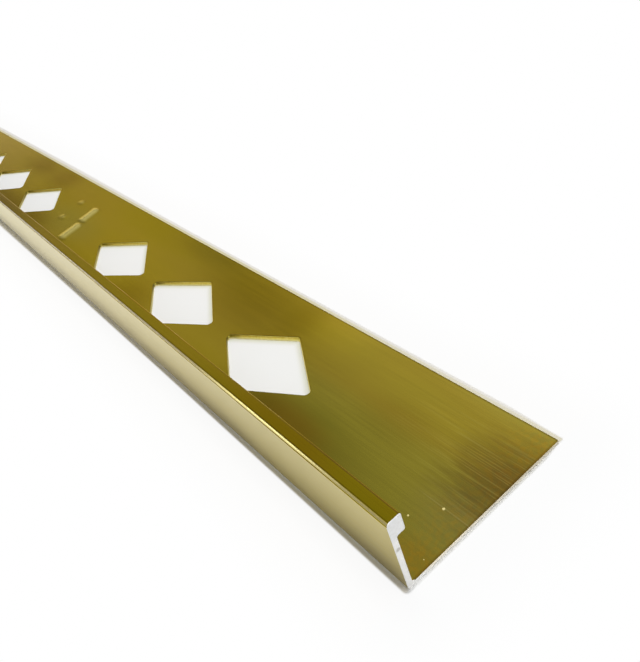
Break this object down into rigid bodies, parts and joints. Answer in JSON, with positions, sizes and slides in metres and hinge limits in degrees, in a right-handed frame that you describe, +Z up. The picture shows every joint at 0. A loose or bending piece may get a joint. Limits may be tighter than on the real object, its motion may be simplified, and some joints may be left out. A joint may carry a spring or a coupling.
{
  "type": "l-channel tile trim",
  "caption": "Straight-edge L-channel trim bar in gold anodised aluminium: upright with a thicker head, and a fixing leg punched with diamond openings.",
  "frame": {"origin": "centre of the bar's bounding box at the underside of the fixing leg, on the floor it lies on", "axes": "+X along the bar towards its near end, +Y across the fixing leg from the upright to the free edge, +Z up towards the head"},
  "size_m": [1, 0.027, 0.0125],
  "materials": {
    "gold_anodised": "gold anodised, satin, with bare sawn ends"
  },
  "bodies": {
    "root": {"l_channel": "gold_anodised"}
  },
  "joints": []
}
